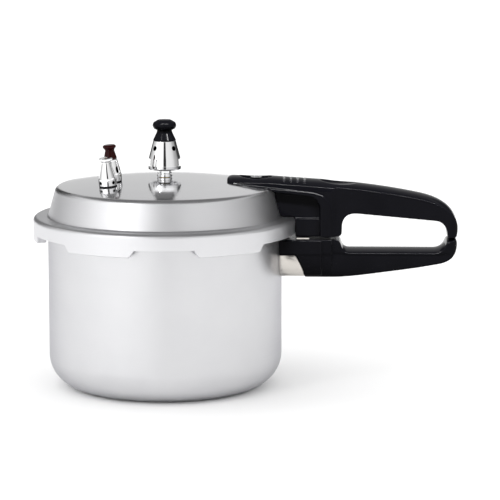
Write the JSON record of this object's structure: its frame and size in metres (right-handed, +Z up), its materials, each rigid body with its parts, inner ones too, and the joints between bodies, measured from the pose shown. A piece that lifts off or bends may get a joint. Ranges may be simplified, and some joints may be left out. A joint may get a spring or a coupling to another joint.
{
  "type": "stovetop pressure cooker",
  "caption": "Aluminium stovetop pressure cooker with a turn-and-lock lid, weight valve, two small valves and black handles.",
  "frame": {"origin": "centre of the pot's flat base, on the surface it stands on", "axes": "+Z up along the pot's axis, +X along both handles"},
  "size_m": [0.3725, 0.2312, 0.2359],
  "materials": {
    "satin_aluminium": "satin",
    "polished_aluminium": "polished",
    "black_bakelite": "glossy",
    "brown_bakelite": "glossy",
    "chrome": "mirror",
    "stainless": "brushed",
    "steel": "satin",
    "brass": "satin",
    "rubber": "matte"
  },
  "bodies": {
    "pot": {"pot_body": "satin_aluminium", "pot_bracket": "steel", "pot_bracket_rivet_lower": "satin_aluminium", "pot_bracket_rivet_upper": "satin_aluminium", "flame_guard": "stainless", "lower_handle": "black_bakelite", "lower_handle_screw": "steel", "lower_handle_washer": "steel", "lower_handle_nut": "steel"},
    "seal": {"gasket": "rubber"},
    "lid": {"lid_dome": "polished_aluminium", "upper_handle": "black_bakelite", "lid_bracket": "stainless", "lid_bracket_rivet_left": "steel", "lid_bracket_rivet_right": "steel", "bracket_screw": "steel", "handle_bolt": "steel", "handle_washer": "steel", "handle_nut": "chrome", "vent_pipe": "brass", "vent_washer": "rubber", "vent_collar": "chrome", "anti_clog_cover": "stainless", "safety_valve_body": "chrome", "safety_valve_washer": "rubber", "safety_valve_nut": "brass", "safety_spring": "steel", "release_valve_housing": "chrome", "release_valve_washer": "rubber", "release_valve_nut": "brass", "release_spring": "steel"},
    "weight": {"weight_bell": "chrome", "weight_needle": "steel", "weight_knob": "black_bakelite"},
    "release": {"release_stem": "brass", "release_cap": "brown_bakelite"},
    "safety": {"safety_poppet": "brass"}
  },
  "joints": [
    {"name": "lid_lift", "type": "slide", "parent": "pot", "child": "seal", "axis": [0, 0, 1], "range_m": [0, 0.12]},
    {"name": "lid_turn", "type": "hinge", "parent": "seal", "child": "lid", "pos_m": [0, 0, 0.1465], "axis": [0, 0, 1], "range_deg": [-30, 0]},
    {"name": "weight_lift", "type": "slide", "parent": "lid", "child": "weight", "axis": [0, 0, 1], "range_m": [0, 0.025]},
    {"name": "release_pull", "type": "slide", "parent": "lid", "child": "release", "axis": [-0.078, -0.0315, 0.9965], "range_m": [0, 0.004], "stiffness_N_per_m": 300, "deforming": ["release_spring"]},
    {"name": "safety_pop", "type": "slide", "parent": "lid", "child": "safety", "axis": [-0.0815, -0.0664, 0.9945], "range_m": [0, 0.002], "stiffness_N_per_m": 400, "deforming": ["safety_spring"]}
  ]
}
